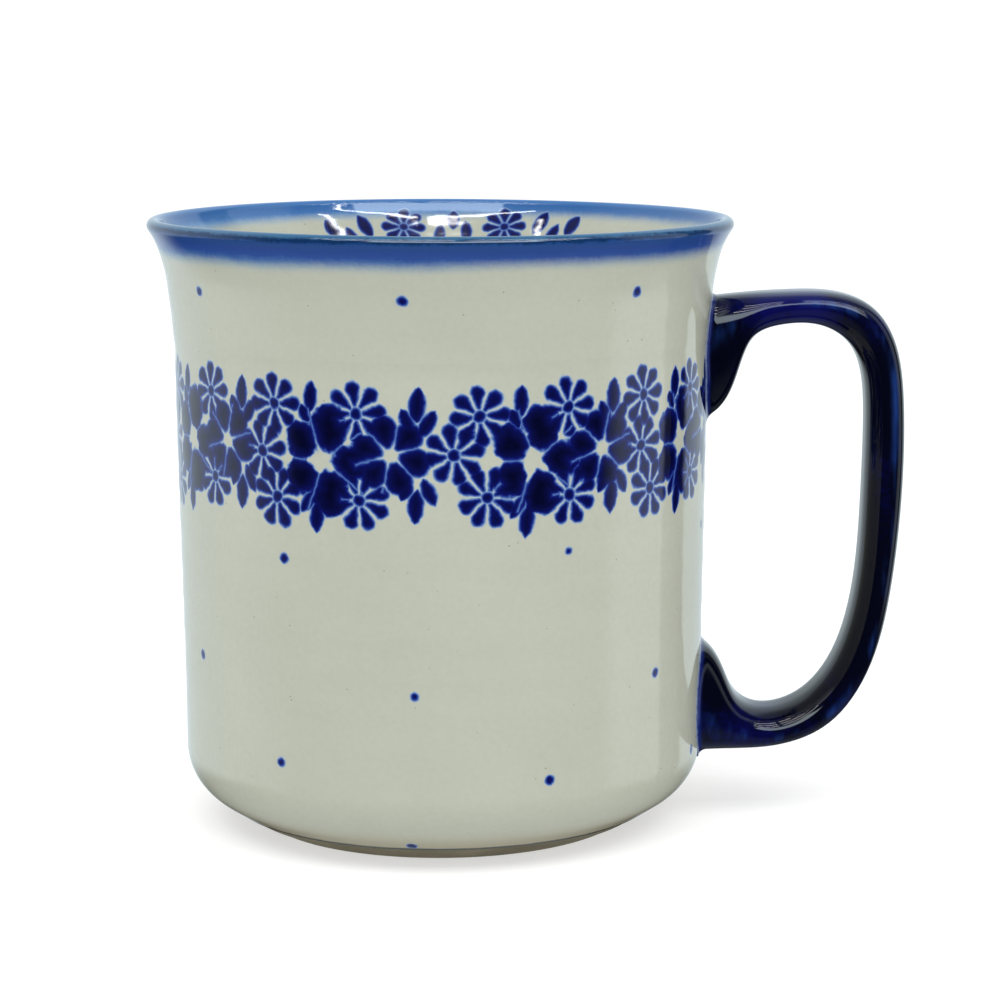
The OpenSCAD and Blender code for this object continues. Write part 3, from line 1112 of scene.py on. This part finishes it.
def make_floor():
    """A plain white floor."""
    mesh = bpy.data.meshes.new("floor")
    corners = [(x * FLOOR_HALF, y * FLOOR_HALF, 0) for x, y in ((-1, -1), (1, -1), (1, 1), (-1, 1))]
    mesh.from_pydata(corners, [], [(0, 1, 2, 3)])
    floor = bpy.data.objects.new("floor", mesh)
    bpy.context.scene.collection.objects.link(floor)
    material = bpy.data.materials.new("floor")
    material.use_nodes = True
    shader = material.node_tree.nodes["Principled BSDF"]
    shader.inputs["Base Color"].default_value = FLOOR_GREY
    shader.inputs["Emission Color"].default_value = (1, 1, 1, 1)
    shader.inputs["Emission Strength"].default_value = FLOOR_GLOW
    shader.inputs["Roughness"].default_value = 0.9
    shader.inputs["Specular IOR Level"].default_value = 0.1
    mesh.materials.append(material)
    floor.visible_glossy = False


def make_light():
    """A white studio tent. The glaze mirrors bright sides, a dark front, a dim top and a soft box."""
    world = bpy.data.worlds.new("studio")
    bpy.context.scene.world = world
    world.use_nodes = True
    tree = world.node_tree
    background = tree.nodes["Background"]
    split = tree.nodes.new("ShaderNodeSeparateXYZ")
    tree.links.new(tree.nodes.new("ShaderNodeTexCoord").outputs["Generated"], split.inputs[0])
    x, y, z = (Field(tree, out) for out in split.outputs)
    round_from_front = op("ARCTAN2", op("ABSOLUTE", x), -y) * (180 / math.pi)
    on_right = ease(x, -0.02, 0.02)
    left = ease(round_from_front, *LEFT_FROM)
    right = ease(round_from_front, *RIGHT_FROM) * ease(round_from_front, *RIGHT_TO, 1.0, 0.08)
    right = op("MAXIMUM", right, ease(round_from_front, *RIGHT_AGAIN))
    walls = left * (1.0 - on_right) + right * on_right
    walls = walls * ease(z, *SIDES_LOW) * ease(z, *SIDES_HIGH, 1.0, 0.2)
    sideways = op("ABSOLUTE", op("ARCTAN2", x, -y) * (180 / math.pi) - SOFT_BOX_MIDDLE)
    soft_box = ease(sideways, *SOFT_BOX_HALF, 1.0, 0.0)
    soft_box = soft_box * ease(z, *SOFT_BOX_LOW) * ease(z, *SOFT_BOX_HIGH, 1.0, 0.0)
    below = ease(z, -0.8, -0.45, BELOW_BRIGHT, 0.0)
    mirrored = walls * WALL_BRIGHT + ease(z, 0.45, 0.8) * TOP_BRIGHT + below + DARKEST
    mirrored = mirrored + soft_box * SOFT_BOX_BRIGHT
    path = tree.nodes.new("ShaderNodeLightPath")
    glossy = Field(tree, path.outputs["Is Glossy Ray"])
    plug(tree, mirrored * glossy + (1.0 - glossy) * SKY_LIGHT, background.inputs["Strength"])
    tint = tree.nodes.new("ShaderNodeMix")
    tint.data_type = "RGBA"
    tint.inputs[6].default_value = (1, 1, 1, 1)
    tint.inputs[7].default_value = MIRRORED_TINT
    plug(tree, glossy, tint.inputs[0])
    tree.links.new(tint.outputs[2], background.inputs["Color"])
    bpy.context.scene.view_settings.view_transform = "Standard"


def make_lamps():
    """Three rows of long lamps above and in front of the mug, two in each row."""
    for row, lean in enumerate(LAMP_LEANS):
        for side in (-1, 1):
            light = bpy.data.lights.new("lamp", "AREA")
            light.shape = "RECTANGLE"
            light.size = LAMP_LONG
            light.size_y = LAMP_WIDE
            light.energy = LAMP_WATTS
            lamp = bpy.data.objects.new("lamp_%d_%s" % (row, "left" if side < 0 else "right"), light)
            bpy.context.scene.collection.objects.link(lamp)
            tilt = math.radians(lean)
            ahead, up = -LAMP_FAR * math.sin(tilt), LAMP_FAR * math.cos(tilt)
            facing = Vector((0, -ahead, -up)).to_track_quat("-Z", "Y")
            spot = Matrix.Translation((side * LAMP_ASIDE + LAMP_SHIFT, ahead, up))
            lamp.matrix_world = spot @ facing.to_matrix().to_4x4()
            lamp.visible_camera = False


make_camera()
make_cup()
make_handle()
make_floor()
make_light()
make_lamps()
